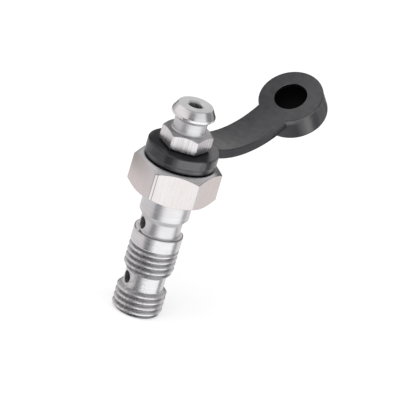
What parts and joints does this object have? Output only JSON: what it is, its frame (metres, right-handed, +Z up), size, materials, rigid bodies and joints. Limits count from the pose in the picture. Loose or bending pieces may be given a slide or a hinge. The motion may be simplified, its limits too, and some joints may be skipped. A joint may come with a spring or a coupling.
{
  "type": "banjo bleed bolt",
  "caption": "Hollow hexagon-headed bolt for a pair of hydraulic hose ends, with a bleed screw in its head and a rubber dust cap on a strap.",
  "frame": {"origin": "middle of the whole object's footprint, level with the end face of the bolt's tip, which it stands on", "axes": "+Z up along the bolt's axis, from the tip to the nipple; +X from the bolt's axis along the dust cap's strap; +Y across the strap"},
  "size_m": [0.0466, 0.0172, 0.0468],
  "materials": {
    "bolt_steel": "turned and milled stainless steel, bright, with fine tool marks",
    "screw_steel": "turned and milled stainless steel, satin",
    "rubber": "moulded black rubber, semi-matt"
  },
  "bodies": {
    "banjo_bolt": {"banjo_bolt": "bolt_steel"},
    "bleed_screw": {"bleed_screw": "screw_steel"},
    "dust_cap": {"dust_cap": "rubber"}
  },
  "joints": [
    {"name": "bleed_screw_turn", "type": "hinge", "parent": "banjo_bolt", "child": "bleed_screw", "pos_m": [-0.01437, 0, 0.03], "axis": [0, 0, 1], "range_deg": [0, 360]},
    {"name": "dust_cap_swivel", "type": "hinge", "parent": "banjo_bolt", "child": "dust_cap", "pos_m": [-0.01437, 0, 0.03525], "axis": [0, 0, 1], "continuous": true}
  ]
}
